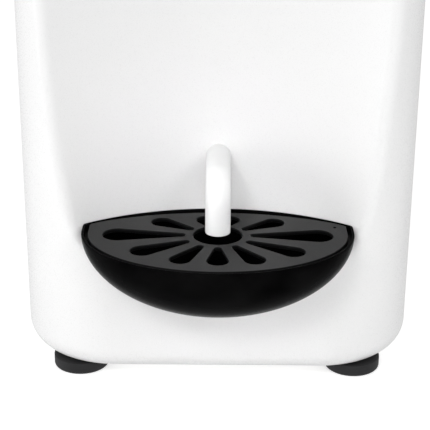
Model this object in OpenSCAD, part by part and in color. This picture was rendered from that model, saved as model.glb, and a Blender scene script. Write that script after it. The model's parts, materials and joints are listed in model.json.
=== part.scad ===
// Countertop water dispenser: a white moulded casing with a scooped recess, a low bent spout
// and a half-boat drip tray with a slotted grate. Frame: X to the right, Y to the rear, Z up,
// origin on the counter under the middle of the whole appliance.

/* [Casing] */
// Width of the casing
casing_w = 300; // [296:1:310]
// Depth of the casing, without the tray
casing_d = 300; // [296:1:310]
// Height of the whole appliance
total_h = 455; // [450:1:470]
// Plan radius of the two front corners
front_corner_r = 72; // [66:1:74]
// Plan radius of the two rear corners
rear_corner_r = 26; // [24:1:28]
// Radius of the bottom edge
bottom_edge_r = 20; // [16:1:22]
// Radius of the top edge
top_edge_r = 21; // [16:1:22]
// Thickness of the moulded walls
wall = 3; // [2.6:0.1:3.4]
// Height of the part line between casing and top cover
part_line_z = 432; // [430:1:434]

/* [Recess] */
// Plan radius of the recess wall at the grate
recess_r = 164.3; // [163:0.1:165]
// Distance of the recess axis in front of the drain hub
recess_axis_gap = 111.1; // [110.5:0.1:112]
// Radius of the slow outward lean of the recess wall
recess_lean_r = 950; // [900:10:1100]
// Height above the grate at which the recess is widest
recess_rise = 195; // [185:1:200]
// Radius under the recess ceiling
recess_top_r = 45; // [36:1:50]

/* [Drip tray] */
// Height of the grate above the counter
grate_z = 126.5; // [124:0.5:130]
// Distance of the drain hub in front of the casing's front face
hub_gap = 6.5; // [6:0.5:7]
// Half width of the tray
tray_half_w = 99; // [97:0.5:100]
// How far the bowl stands out of the front face
tray_reach = 76.5; // [72:0.5:80]
// Depth of the bowl below its rim
tray_depth = 59; // [56:0.5:62]
// Height of the rim above the grate
rim_rise = 0.3; // [0.2:0.1:1]
// Wall of the bowl
tray_wall = 2; // [1.8:0.1:2.4]
// Thickness of the grate
grate_t = 3; // [2.5:0.1:4]
// Radius of the hub hole in the grate
hub_r = 17.8; // [16:0.1:19]

/* [Spout] */
// Outer radius of the spout tube
spout_r = 9.1; // [8.6:0.1:9.4]
// Radius of the water way
spout_bore_r = 6.5; // [6:0.1:6.8]
// Centre-line radius of the bend
spout_bend_r = 16; // [14:0.5:18]
// Height of the spout's swivel axis above the grate
spout_rise = 39.8; // [39:0.1:44]
// Gap between the spout's mouth and the grate
mouth_gap = 2.1; // [2:0.1:4]

/* [Feet] */
// Height of the feet below the casing
foot_h = 9.5; // [9:0.5:12]
// Radius of a foot
foot_r = 21.5; // [18:0.5:22]
// Sideways distance of the feet from the middle
foot_x = 106; // [100:0.5:107]

/* [Controls] */
// Radius of a push button
button_r = 9; // [7:0.5:10]
// Sideways distance between buttons
button_pitch = 44; // [38:1:48]
// Travel of a push button
button_travel = 1.5; // [1:0.1:2]

/* [Hidden] */
$fn = 72;
fine_fn = 180;
lean_fn = 360;
eps = 1;

// Running clearance of a shaft in its bearing, and the gap between separate pieces
run_gap = 0.06;
gap = 0.3;

// Places of the main faces
rear_gear = 12;
body_shift = (tray_reach - rear_gear) / 2;
face_y = -casing_d / 2 + body_shift;
rear_y = face_y + casing_d;
hub_y = face_y - hub_gap;
casing_z = foot_h;
half_w = casing_w / 2;
recess_y = hub_y - recess_axis_gap;
recess_wide_z = grate_z + recess_rise;
recess_max_r = recess_r + recess_lean_r - sqrt(pow(recess_lean_r, 2) - pow(recess_rise, 2));
recess_ceiling_z = recess_wide_z + recess_top_r;
rim_z = grate_z + rim_rise;
foot_front_y = hub_y + 42;
foot_rear_y = rear_y - 45;

// Grate outline and the shelf under it
grate_half_w = 94;
grate_reach = 70;
grate_back = 44.5;
grate_back_r = 200;
ledge_t = 2.5;
side_trim = 0.04;

// Spout
spout_z = grate_z + spout_rise;
spout_lean = (pow(recess_rise, 2) - pow(recess_rise - spout_rise, 2)) / (2 * recess_lean_r);
spout_wall_y = recess_y + recess_r + spout_lean;
bushing_y = spout_wall_y + 5;
bushing_len = 14;
bushing_r = 12;
bushing_flange_r = 15;
clip_y = bushing_y + bushing_len + 2 + gap;
clip_t = 1.2;
seal_y = clip_y + clip_t + 6;
seal_r = 1.2;
seal_major_r = 8.9;
spout_end_y = seal_y + 6;
socket_r = 10.15;
valve_y = spout_end_y + 9;

// Controls
panel_z = 400;
panel_half_w = 74;
panel_h = 30;
panel_t = 2;
button_out = 2;
button_flange_r = 11;
switch_depth = 14;

// Rear opening and its panel
rear_half_w = 122;
rear_low_z = casing_z + 22;
rear_high_z = part_line_z;
rear_t = 2.5;
vent_z = 86;

// Cold tank, cooling block and fan
cold_x = -66;
cold_y = 18;
cold_jacket_r = 62;
cold_tank_r = 46;
cold_low_z = casing_z + 6;
cold_high_z = 150;
block_half = 20;
sink_y = cold_y + cold_tank_r + 26;
sink_half = 44;
fan_y = sink_y + 52;
fan_half = 46;
fan_depth = 25;
fan_r = 42;
fan_hub_r = 17;
fan_blades = 7;

// Hot tank
hot_x = 74;
hot_y = 48;
hot_jacket_r = 50;
hot_tank_r = 34;
hot_low_z = 200;
hot_high_z = 350;

// Filters
filter_x = [-98, -26];
filter_y = 98;
filter_r = 31;
filter_low_z = 228;
filter_high_z = 398;
filter_neck_r = 15;
deck_z = 410;

// Fittings on the rear
fitting_z = 58;
inlet_x = 16;
drain_x = 48;
power_x = 86;
switch_x = [70, 98];
switch_z = 112;
rocker_tilt = 10;
rocker_depth = 3;
rocker_pin_r = 2;
inlet_tube_r = 3.2;
tube_r = 3.2;

// Hinge of the top cover
hinge_x = 80;
hinge_y = rear_y + 5.6;
hinge_z = part_line_z + 3;
hinge_r = 5;
hinge_pin_r = 2.5;

// Screws: sizes, then places as [x, y] or [x, z]
screw_head_r = 4;
screw_head_h = 2.2;
screw_r = 1.9;
screw_length = 11.5;
base_screw_xy = [[-121, -22], [121, -22], [-121, 104], [121, 104]];
panel_screw_xz = [[-116, 60], [116, 60], [-116, 230], [116, 230], [-116, 400], [116, 400]];
foot_xy = [
    [-foot_x, foot_front_y], [foot_x, foot_front_y], [-foot_x, foot_rear_y], [foot_x, foot_rear_y]
];

white = "#F2F2F0";
black = "#111113";

// ---------- shared shapes ----------

// The waste outside a rounded corner whose arc has radius r
module corner_waste(r) {
    difference() {
        translate([-eps, -eps]) square(r + eps);
        translate([r, r]) circle(r);
    }
}

// A rectangle whose lower corners and upper corners have their own radii
module rounded_rect(x0, y0, x1, y1, low_r, high_r) {
    difference() {
        translate([x0, y0]) square([x1 - x0, y1 - y0]);
        translate([x0, y0]) corner_waste(low_r);
        translate([x1, y0]) mirror([1, 0]) corner_waste(low_r);
        translate([x0, y1]) mirror([0, 1]) corner_waste(high_r);
        translate([x1, y1]) mirror([1, 0]) mirror([0, 1]) corner_waste(high_r);
    }
}

// The casing's plan, set in from the outside
module casing_plan(inset) {
    rounded_rect(-half_w + inset, face_y + inset, half_w - inset, rear_y - inset,
                 front_corner_r - inset, rear_corner_r - inset);
}

// Half section of the casing's edge: plain at the axis, rounded at the outer side
module edge_profile(r, inset) {
    low = casing_z + inset;
    high = total_h - inset;
    difference() {
        translate([0, low]) square([r, high - low]);
        translate([r, low]) mirror([1, 0]) corner_waste(bottom_edge_r - inset);
        translate([r, high]) mirror([1, 0]) mirror([0, 1]) corner_waste(top_edge_r - inset);
    }
}

// The closed outer form of casing and top cover, set in from the outside
module casing_block(inset) {
    front_x = half_w - front_corner_r;
    front_corner_y = face_y + front_corner_r;
    rear_x = half_w - rear_corner_r;
    rear_corner_y = rear_y - rear_corner_r;
    for (s = [0, 1]) mirror([s, 0, 0]) {
        translate([front_x, front_corner_y, 0]) rotate([0, 0, 270]) rotate_extrude(angle = 90)
            edge_profile(front_corner_r - inset, inset);
        translate([rear_x, rear_corner_y, 0]) rotate_extrude(angle = 90)
            edge_profile(rear_corner_r - inset, inset);
        translate([0, rear_corner_y, 0]) rotate([90, 0, 0])
            linear_extrude(rear_corner_y - front_corner_y) edge_profile(half_w - inset, inset);
    }
    translate([-front_x, 0, 0]) rotate([90, 0, 0]) rotate([0, -90, 0]) mirror([0, 0, 1])
        linear_extrude(2 * front_x) edge_profile(-face_y - inset, inset);
    translate([-rear_x, 0, 0]) rotate([90, 0, 90]) linear_extrude(2 * rear_x)
        edge_profile(rear_y - inset, inset);
}

// Space of the recess above the tray: a solid of revolution about a vertical axis in front
module recess_space(grow) {
    translate([0, recess_y, 0]) rotate_extrude($fn = fine_fn) {
        intersection() {
            translate([recess_max_r - recess_lean_r, recess_wide_z])
                circle(recess_lean_r + grow, $fn = lean_fn);
            translate([0, rim_z - grow])
                square([recess_max_r + 2 * grow + eps, recess_wide_z - rim_z + grow]);
        }
        translate([0, recess_wide_z - eps])
            square([recess_max_r - recess_top_r, recess_top_r + grow + eps]);
        intersection() {
            translate([recess_max_r - recess_top_r, recess_wide_z]) circle(recess_top_r + grow);
            translate([0, recess_wide_z - eps]) square(recess_max_r + 2 * grow);
        }
    }
}

// Half ellipse below z = 0: half width a, depth c
module half_ellipse(a, c) {
    intersection() {
        scale([a, c]) circle(1, $fn = fine_fn);
        translate([-a - eps, -c - eps]) square([2 * (a + eps), c + eps]);
    }
}

// Space under the grate that holds the rear half of the tray
module tray_pocket(grow) {
    side = 0.4 + grow;
    intersection() {
        translate([0, recess_y, rim_z - 90]) cylinder(h = 90 + eps, r = recess_r + grow, $fn = fine_fn);
        translate([0, hub_y + 80, rim_z]) rotate([90, 0, 0]) linear_extrude(100)
            half_ellipse(tray_half_w + side, tray_depth + side);
    }
}

// Outer form of the bowl, set in by the wall
module bowl_block(inset) {
    intersection() {
        union() {
            translate([0, face_y, rim_z])
                scale([tray_half_w - inset, tray_reach - inset, tray_depth - inset])
                sphere(1, $fn = fine_fn);
            translate([0, hub_y + 80, rim_z]) rotate([90, 0, 0])
                linear_extrude(80 + hub_y - face_y)
                half_ellipse(tray_half_w - inset, tray_depth - inset);
        }
        translate([0, recess_y, rim_z - tray_depth - eps])
            cylinder(h = tray_depth + eps, r = recess_r - 0.8 - inset, $fn = fine_fn);
    }
}

// A screw along +Z with its head at z = 0
module case_screw() {
    cylinder(h = screw_head_h, r = screw_head_r);
    translate([0, 0, screw_head_h]) cylinder(h = screw_length - screw_head_h, r = screw_r);
}

// A tube of round section through axis-parallel points
module pipe(points, r) {
    for (i = [1 : len(points) - 1]) {
        a = points[i - 1];
        d = points[i] - a;
        length = norm(d);
        turn = abs(d[2]) > 0 ? [d[2] > 0 ? 0 : 180, 0, 0]
             : abs(d[0]) > 0 ? [0, d[0] > 0 ? 90 : -90, 0]
             : [d[1] > 0 ? -90 : 90, 0, 0];
        translate(a) rotate(turn) cylinder(h = length, r = r, $fn = 32);
        if (i < len(points) - 1) translate(points[i]) sphere(r, $fn = 32);
    }
}

// ---------- casing ----------

module front_casing() color(white) {
    difference() {
        union() {
            difference() {
                casing_block(0);
                casing_block(wall);
            }
            intersection() {
                casing_block(1);
                union() {
                    recess_space(wall);
                    tray_pocket(wall);
                    rear_frame();
                    panel_backing();
                }
            }
            spout_boss();
            base_bosses();
        }
        recess_space(0);
        tray_pocket(0);
        translate([-200, -250, part_line_z]) cube([400, 500, 60]);
        bottom_opening(0);
        rear_opening();
        panel_seat();
        for (i = [-1 : 1])
            translate([i * button_pitch, face_y - eps, panel_z]) rotate([-90, 0, 0])
                cylinder(h = 12, r = button_r + 0.4);
        spout_bores();
        for (p = base_screw_xy) translate([p[0], p[1], casing_z]) cylinder(h = 22, r = 2);
        for (p = panel_screw_xz)
            translate([p[0], rear_y - 12, p[1]]) rotate([-90, 0, 0]) cylinder(h = 14, r = 2);
    }
}

module rear_frame() {
    translate([-half_w, rear_y - rear_t - 4, casing_z]) cube([casing_w, rear_t + 4, part_line_z]);
}

module panel_backing() {
    translate([-panel_half_w - 4, face_y, panel_z - panel_h / 2 - 4])
        cube([2 * panel_half_w + 8, 5.2, panel_h + 8]);
}

module panel_outline(grow) {
    r = panel_h / 2 + grow;
    for (s = [-1, 1]) translate([s * (panel_half_w - panel_h / 2), 0]) circle(r);
    translate([-(panel_half_w - panel_h / 2), -r]) square([2 * panel_half_w - panel_h, 2 * r]);
}

module panel_seat() {
    translate([0, face_y + panel_t, panel_z]) rotate([90, 0, 0])
        linear_extrude(panel_t + eps) panel_outline(gap);
}

module spout_boss() {
    translate([0, bushing_y - 3, spout_z]) rotate([-90, 0, 0]) cylinder(h = bushing_len + 3, r = 18);
}

module spout_bores() {
    translate([0, bushing_y - 30, spout_z]) rotate([-90, 0, 0]) cylinder(h = 60, r = spout_r + gap);
    translate([0, bushing_y, spout_z]) rotate([-90, 0, 0]) cylinder(h = 30, r = bushing_r + 0.05);
}

module base_bosses() {
    for (p = base_screw_xy) {
        side = sign(p[0]);
        translate([p[0], p[1], casing_z + wall + 3]) cylinder(h = 22, r = 5);
        translate([side > 0 ? p[0] : -half_w + 1, p[1] - 1.5, casing_z + 12])
            cube([half_w - 1 - abs(p[0]), 3, 15.4]);
    }
}

module bottom_opening(inset) {
    side = half_w - bottom_edge_r - 2 - inset;
    front = face_y + bottom_edge_r + 2 + inset;
    rear = rear_y - bottom_edge_r - 2 - inset;
    translate([0, 0, casing_z - (inset > 0 ? 0 : eps)])
        linear_extrude(inset > 0 ? wall + 1 : wall + 2 * eps)
        rounded_rect(-side, front, side, rear, 40, 6);
}

module rear_opening() {
    translate([-rear_half_w, rear_y - rear_t - 0.2, rear_low_z])
        cube([2 * rear_half_w, 5, rear_high_z - rear_low_z]);
    translate([-rear_half_w + 12, rear_y - 12, rear_low_z + 12])
        cube([2 * rear_half_w - 24, 14, rear_high_z - rear_low_z - 24]);
}

module rear_panel() color(white) {
    difference() {
        union() {
            translate([-rear_half_w + gap, rear_y - rear_t, rear_low_z + gap])
                cube([2 * (rear_half_w - gap), rear_t, rear_high_z - rear_low_z - 2 * gap]);
            for (s = [-1, 1]) for (e = [-1, 1])
                translate([s * hinge_x + e * 14, 0, 0]) hinge_leaf();
        }
        for (x = [-36 : 8 : 36]) vent_slot(cold_x + x, vent_z, 2 * sqrt(1764 - x * x) + 4);
        for (x = [-60 : 10 : 60]) vent_slot(x, 330, 60);
        for (s = [-1, 1]) translate([s * hinge_x - 30, hinge_y, hinge_z]) rotate([0, 90, 0])
            cylinder(h = 60, r = hinge_pin_r + 0.03);
        rear_bore(inlet_x, fitting_z, 6.2);
        rear_bore(drain_x, fitting_z, 7.2);
        translate([power_x - 14.2, rear_y - 5, fitting_z - 10.7]) cube([28.4, 10, 21.4]);
        for (x = switch_x) translate([x - 9.2, rear_y - 5, switch_z - 12.2]) cube([18.4, 10, 24.4]);
        for (p = panel_screw_xz) rear_bore(p[0], p[1], 2.2);
    }
}

module hinge_leaf() {
    translate([-4, hinge_y, hinge_z]) rotate([0, 90, 0]) cylinder(h = 8, r = hinge_r);
    translate([-4, rear_y + 0.6, hinge_z - 20]) cube([8, 5, 20]);
    translate([-4, rear_y - rear_t, hinge_z - 20]) cube([8, rear_t + 1, 10]);
}

module vent_slot(x, z, height) {
    translate([x, rear_y + eps, z]) rotate([90, 0, 0]) linear_extrude(rear_t + 2 * eps)
        union() {
            for (s = [-1, 1]) translate([0, s * (height / 2 - 2)]) circle(2, $fn = 24);
            translate([-2, -height / 2 + 2]) square([4, height - 4]);
        }
}

module rear_bore(x, z, r) {
    translate([x, rear_y - 5, z]) rotate([-90, 0, 0]) cylinder(h = 10, r = r);
}

module base_pan() color("#DADAD8") {
    difference() {
        union() {
            bottom_opening(0.4);
            translate([0, 0, casing_z + wall + 0.7]) linear_extrude(2) base_flange();
        }
        for (p = base_screw_xy) {
            translate([p[0], p[1], casing_z - eps]) cylinder(h = 20, r = 2.2);
            translate([p[0], p[1], casing_z - eps]) cylinder(h = 2.5 + eps, r = 4.2);
        }
        for (p = foot_xy) translate([p[0], p[1], casing_z - eps]) cylinder(h = 20, r = 2);
        for (y = [0 : 10 : 60]) translate([40, y, casing_z - eps]) linear_extrude(12)
            rounded_rect(-30, -2, 30, 2, 1.9, 1.9);
    }
}

module base_flange() {
    side = half_w - bottom_edge_r + 2;
    rounded_rect(-side, face_y + bottom_edge_r - 1, side, rear_y - bottom_edge_r + 1, 50, 8);
}

module top_cover() color(white) {
    difference() {
        union() {
            difference() {
                casing_block(0);
                casing_block(wall);
            }
            for (s = [-1, 1]) translate([s * hinge_x - 9, 0, 0]) {
                translate([0, hinge_y, hinge_z]) rotate([0, 90, 0]) cylinder(h = 18, r = hinge_r);
                translate([0, rear_y - 2, hinge_z]) cube([18, 7.6, hinge_r]);
            }
        }
        translate([-200, -250, 0]) cube([400, 500, part_line_z + gap]);
        for (s = [-1, 1]) translate([s * hinge_x - 30, hinge_y, hinge_z]) rotate([0, 90, 0])
            cylinder(h = 60, r = hinge_pin_r + run_gap);
    }
}

module inner_deck() color("#E4E4E2") {
    difference() {
        translate([0, 0, deck_z]) linear_extrude(wall) casing_plan(wall + gap);
        translate([-panel_half_w - 10, face_y - eps, deck_z - eps])
            cube([2 * panel_half_w + 20, 32, wall + 2 * eps]);
        for (x = filter_x) translate([x, filter_y, deck_z - eps])
            cylinder(h = wall + 2 * eps, r = filter_r + 2);
        translate([-half_w, rear_y - rear_t - 4.4, deck_z - eps])
            cube([casing_w, 10, wall + 2 * eps]);
    }
}

// ---------- controls ----------

module control_panel() color(black) {
    difference() {
        translate([0, face_y + panel_t - 0.1, panel_z]) rotate([90, 0, 0])
            linear_extrude(panel_t - 0.1) panel_outline(0);
        for (i = [-1 : 1]) translate([i * button_pitch, face_y - eps, panel_z]) rotate([-90, 0, 0])
            cylinder(h = 5, r = button_r + gap);
        for (i = [-1 : 1]) translate([i * button_pitch + 14, face_y - eps, panel_z])
            rotate([-90, 0, 0]) cylinder(h = 5, r = 1.55, $fn = 32);
    }
}

module button(i) {
    translate([i * button_pitch, face_y - button_out, panel_z]) rotate([-90, 0, 0]) {
        cylinder(h = button_out + 7.5, r = button_r);
        translate([0, 0, button_out + 5.6]) cylinder(h = 1.5, r = button_flange_r);
        cylinder(h = button_out + switch_depth - button_travel - gap, r = 2.5);
    }
}

module cold_button() color("#E8ECEF") button(-1);
module ambient_button() color("#E8ECEF") button(0);
module hot_button() color("#E8ECEF") button(1);

module indicator_lenses() color("#9FD8F2") {
    for (i = [-1 : 1]) translate([i * button_pitch + 14, face_y + 0.2, panel_z])
        rotate([-90, 0, 0]) cylinder(h = 1.6, r = 1.5, $fn = 32);
}

module display_board() color("#1F6B3A") {
    board_y = face_y + switch_depth + 2;
    difference() {
        translate([-70, board_y, panel_z - 14]) cube([140, 1.6, 28]);
        for (s = [-1, 1]) translate([s * 66, board_y - eps, panel_z - 10]) rotate([-90, 0, 0])
            cylinder(h = 4, r = 1.6, $fn = 32);
    }
    for (i = [-1 : 1]) {
        translate([i * button_pitch - 3, board_y - 2, panel_z - 3]) cube([6, 2.2, 6]);
        translate([i * button_pitch + 12.5, board_y - 1.5, panel_z - 1.5]) cube([3, 1.7, 3]);
    }
    translate([-20, board_y + 1.4, panel_z - 8]) cube([16, 3, 16]);
}

// ---------- spout ----------

module spout() color(white) {
    difference() {
        union() {
            spout_path(spout_r);
            translate([0, spout_end_y, spout_z]) rotate([90, 0, 0]) cylinder(h = 3, r = spout_r);
        }
        spout_path(spout_bore_r);
        translate([0, hub_y, grate_z - 5]) cylinder(h = 20, r = spout_bore_r);
        translate([0, spout_end_y + eps, spout_z]) rotate([90, 0, 0])
            cylinder(h = 20, r = spout_bore_r);
        ring_groove(clip_y, clip_t + 0.2, spout_r - 1);
        ring_groove(seal_y - seal_r - 0.1, 2 * seal_r + 0.2, seal_major_r - seal_r - 0.05);
    }
}

module spout_path(r) {
    mouth_z = grate_z + mouth_gap;
    bend_y = hub_y + spout_bend_r;
    translate([0, hub_y, mouth_z]) cylinder(h = spout_z - spout_bend_r - mouth_z, r = r);
    translate([0, bend_y, spout_z - spout_bend_r]) rotate([90, 0, -90])
        rotate_extrude(angle = 90) translate([spout_bend_r, 0]) circle(r);
    translate([0, bend_y, spout_z]) rotate([-90, 0, 0]) cylinder(h = spout_end_y - bend_y, r = r);
}

module ring_groove(y, width, r) {
    translate([0, y, spout_z]) rotate([-90, 0, 0]) difference() {
        cylinder(h = width, r = spout_r + 2);
        translate([0, 0, -eps]) cylinder(h = width + 2 * eps, r = r);
    }
}

module spout_bushing() color("#E9E4D4") {
    difference() {
        translate([0, bushing_y, spout_z]) rotate([-90, 0, 0]) {
            cylinder(h = bushing_len + 2, r = bushing_r);
            translate([0, 0, bushing_len + 0.1]) cylinder(h = 1.9, r = bushing_flange_r);
        }
        translate([0, bushing_y - eps, spout_z]) rotate([-90, 0, 0])
            cylinder(h = bushing_len + 4, r = spout_r + run_gap);
    }
}

module spout_clip() color("silver") {
    translate([0, clip_y + 0.1, spout_z]) rotate([-90, 0, 0]) difference() {
        cylinder(h = clip_t, r = bushing_r);
        translate([0, 0, -eps]) cylinder(h = clip_t + 2 * eps, r = spout_r - 0.95);
        translate([-5, -20, -eps]) cube([10, 20, clip_t + 2 * eps]);
    }
}

module spout_seal() color("#202020") {
    translate([0, seal_y, spout_z]) rotate([90, 0, 0])
        rotate_extrude() translate([seal_major_r, 0]) circle(seal_r, $fn = 32);
}

module outlet_elbow() color("#D8DDE0") {
    socket_y = clip_y + clip_t + 2;
    difference() {
        union() {
            translate([0, socket_y, spout_z]) rotate([-90, 0, 0])
                cylinder(h = valve_y - socket_y + 8, r = 14);
            translate([0, valve_y, spout_z]) cylinder(h = 281 - spout_z, r = 6.5);
        }
        translate([0, socket_y - eps, spout_z]) rotate([-90, 0, 0])
            cylinder(h = spout_end_y + gap - socket_y + eps, r = socket_r);
        translate([0, spout_end_y, spout_z]) rotate([-90, 0, 0]) cylinder(h = 9, r = 4.5);
        translate([0, valve_y, spout_z]) cylinder(h = 130, r = 4.5);
    }
}

// ---------- drip tray ----------

module drip_tray() color(black) {
    difference() {
        bowl_block(0);
        difference() {
            bowl_block(tray_wall);
            translate([-120, hub_y - 120, rim_z - tray_depth + tray_wall - 15])
                cube([240, 260, 20]);
            grate_ledge();
        }
    }
}

// The shelf inside the bowl that the grate's edge lies on
module grate_ledge() {
    translate([0, 0, grate_z - grate_t - 0.1 - ledge_t]) linear_extrude(ledge_t) difference() {
        translate([-120, hub_y - 100]) square([240, 180]);
        grate_plan(-4);
    }
}

// Plan of the grate: an ellipse in front and the recess arc behind
module grate_plan(grow) {
    intersection() {
        union() {
            translate([0, hub_y + 5]) scale([grate_half_w + grow, grate_reach + grow])
                circle(1, $fn = fine_fn);
            translate([-grate_half_w - grow, hub_y + 5])
                square([2 * (grate_half_w + grow), 60]);
        }
        translate([0, hub_y + grate_back - grate_back_r]) circle(grate_back_r + grow, $fn = fine_fn);
        translate([0, recess_y]) circle(recess_r - tray_wall - 1.4 + grow, $fn = fine_fn);
    }
}

// A teardrop slot from the hub outwards: two round ends joined by straight sides, which lie a
// hair inside the common tangents
module teardrop(angle, near_d, near_r, far_d, far_r) {
    lean = asin((far_r - near_r) / (far_d - near_d));
    near_x = near_d - near_r * sin(lean);
    far_x = far_d - far_r * sin(lean);
    near_y = near_r * cos(lean) - side_trim;
    far_y = far_r * cos(lean) - side_trim;
    rotate(angle) {
        translate([near_d, 0]) circle(near_r, $fn = 32);
        translate([far_d, 0]) circle(far_r, $fn = 48);
        polygon([[near_x, near_y], [far_x, far_y], [far_x, -far_y], [near_x, -near_y]]);
    }
}

module grate_slots() {
    teardrop(0, 26.2, 3, 72.2, 11);
    teardrop(180, 26.2, 3, 72.2, 11);
    for (s = [0, 1]) mirror([s, 0]) {
        teardrop(-29.2, 26, 2.8, 60.6, 8.7);
        teardrop(-59.7, 25.2, 2.9, 51, 7.7);
        teardrop(31, 23.5, 3, 48, 8);
    }
    teardrop(-90, 25.5, 2.9, 46.4, 7.7);
    difference() {
        union() {
            for (s = [-1, 1]) translate([s * 8.6, 29.6]) circle(7.6, $fn = 48);
            polygon([[-8.6, 37.1], [8.6, 37.1], [14.9, 25.8], [8, 14], [-8, 14], [-14.9, 25.8]]);
        }
        circle(hub_r + 3.2, $fn = fine_fn);
    }
}

module drip_grate() color("#3C3C3E") {
    translate([0, 0, grate_z - grate_t]) linear_extrude(grate_t) difference() {
        grate_plan(0);
        translate([0, hub_y]) circle(hub_r, $fn = fine_fn);
        translate([0, hub_y]) grate_slots();
        translate([85.6, hub_y + 18.6]) circle(1.2, $fn = 24);
    }
}

// ---------- feet and fasteners ----------

module foot(i) {
    translate([foot_xy[i][0], foot_xy[i][1], 0]) rotate_extrude() difference() {
        union() {
            translate([4.6, 0]) square([foot_r - 2.5 - 4.6, foot_h]);
            translate([4.6, 2.5]) square([foot_r - 4.6, foot_h - 2.5]);
            translate([foot_r - 2.5, 2.5]) circle(2.5, $fn = 32);
            translate([2.3, 6]) square([4, foot_h - 6]);
        }
        translate([0, -eps]) square([2.3, foot_h + 2 * eps]);
    }
}

module front_left_foot() color("#1C1C1C") foot(0);
module front_right_foot() color("#1C1C1C") foot(1);
module rear_left_foot() color("#1C1C1C") foot(2);
module rear_right_foot() color("#1C1C1C") foot(3);

// The feet, the base pan and the rear panel share one kind of screw
module case_screws() color("silver") {
    for (p = foot_xy) translate([p[0], p[1], 3.4]) case_screw();
    for (p = base_screw_xy) translate([p[0], p[1], casing_z + 0.2]) case_screw();
    for (p = panel_screw_xz) translate([p[0], rear_y + screw_head_h + 0.1, p[1]])
        rotate([90, 0, 0]) case_screw();
}

module hinge_pins() color("silver") {
    for (s = [-1, 1]) translate([s * hinge_x - 18, hinge_y, hinge_z]) rotate([0, 90, 0])
        cylinder(h = 36, r = hinge_pin_r);
}

// ---------- water works ----------

module valve_block() color("#C9CED2") {
    difference() {
        translate([-48, valve_y - 14, 281.3]) cube([96, 28, 20]);
        translate([0, valve_y, 281]) cylinder(h = 10, r = 4.5);
        for (s = [-1 : 1]) translate([s * 32, valve_y, 295]) cylinder(h = 10, r = 6);
        translate([-49, valve_y, 289]) rotate([0, 90, 0]) cylinder(h = 98, r = 3);
    }
}

module solenoid_coils() color("#2C3A55") {
    for (s = [-1 : 1]) translate([s * 32, valve_y, 301.6]) {
        cylinder(h = 32, r = 13);
        translate([0, 0, 32]) cylinder(h = 3, r = 5);
        translate([-6, 10, 4]) cube([12, 9, 10]);
    }
}

module tank(x, y, low, high, r) {
    translate([x, y, low]) difference() {
        cylinder(h = high - low, r = r);
        translate([0, 0, 1.2]) cylinder(h = high - low - 2.4, r = r - 1.2);
    }
}

module half_jacket(x, y, low, high, outer_r, inner_r, side) {
    difference() {
        translate([x, y, low]) cylinder(h = high - low, r = outer_r);
        translate([x, y, low + 14]) cylinder(h = high - low - 28, r = inner_r + gap);
        translate([side < 0 ? x - gap / 2 : x - outer_r - eps, y - outer_r - eps, low - eps])
            cube([outer_r + gap / 2 + eps, 2 * (outer_r + eps), high - low + 2 * eps]);
        translate([cold_x - block_half - gap, cold_y, vent_z - block_half - gap])
            cube([2 * (block_half + gap), 100, 2 * (block_half + gap)]);
    }
}

module cold_tank() color("silver")
    tank(cold_x, cold_y, cold_low_z + 14 + gap, cold_high_z - 14 - gap, cold_tank_r);
module cold_jacket_left() color("#3A3A3A")
    half_jacket(cold_x, cold_y, cold_low_z, cold_high_z, cold_jacket_r, cold_tank_r, -1);
module cold_jacket_right() color("#3A3A3A")
    half_jacket(cold_x, cold_y, cold_low_z, cold_high_z, cold_jacket_r, cold_tank_r, 1);

module cold_block() color("#B9BEC3") {
    difference() {
        translate([cold_x - block_half, cold_y + 10, vent_z - block_half])
            cube([2 * block_half, sink_y - 4.6 - cold_y - 10, 2 * block_half]);
        translate([cold_x, cold_y, vent_z - 30]) cylinder(h = 60, r = cold_tank_r + 0.1);
    }
}

module thermo_module() color("#F4F4F4") {
    translate([cold_x - block_half, sink_y - 4.4, vent_z - block_half])
        cube([2 * block_half, 4, 2 * block_half]);
}

module heat_sink() color("#A8ADB2") {
    translate([cold_x - sink_half, sink_y - 0.2, vent_z - sink_half])
        cube([2 * sink_half, 6, 2 * sink_half]);
    for (x = [-sink_half : 8 : sink_half - 1])
        translate([cold_x + x, sink_y + 5, vent_z - sink_half]) cube([1.6, 44, 2 * sink_half]);
}

module fan_frame() color("#222222") {
    translate([cold_x, fan_y, vent_z]) rotate([-90, 0, 0]) {
        difference() {
            translate([-fan_half, -fan_half, 0]) cube([2 * fan_half, 2 * fan_half, fan_depth]);
            translate([0, 0, -eps]) cylinder(h = fan_depth + 2 * eps, r = fan_r);
            for (sx = [-1, 1]) for (sy = [-1, 1])
                translate([sx * 41, sy * 41, -eps]) cylinder(h = fan_depth + 2 * eps, r = 2);
        }
        translate([0, 0, fan_depth - 4]) cylinder(h = 4, r = fan_hub_r);
        translate([0, 0, fan_depth - 14]) cylinder(h = 12, r = 2.4);
        for (a = [30, 150, 270]) rotate(a) translate([fan_hub_r - 2, -2, fan_depth - 3])
            cube([fan_r - fan_hub_r + 4, 4, 3]);
    }
}

module fan_rotor() color("#2E2E30") {
    translate([cold_x, fan_y, vent_z]) rotate([-90, 0, 0]) difference() {
        union() {
            translate([0, 0, 3]) cylinder(h = fan_depth - 3 - 4 - 0.6, r = fan_hub_r);
            for (i = [0 : fan_blades - 1]) rotate(i * 360 / fan_blades)
                translate([fan_hub_r - 1.5, 0, 10.5]) rotate([38, 0, 0])
                translate([0, -9, -0.8]) cube([fan_r - fan_hub_r - 0.5, 18, 1.6]);
        }
        translate([0, 0, 8]) cylinder(h = fan_depth, r = 2.4 + run_gap);
    }
}

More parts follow.
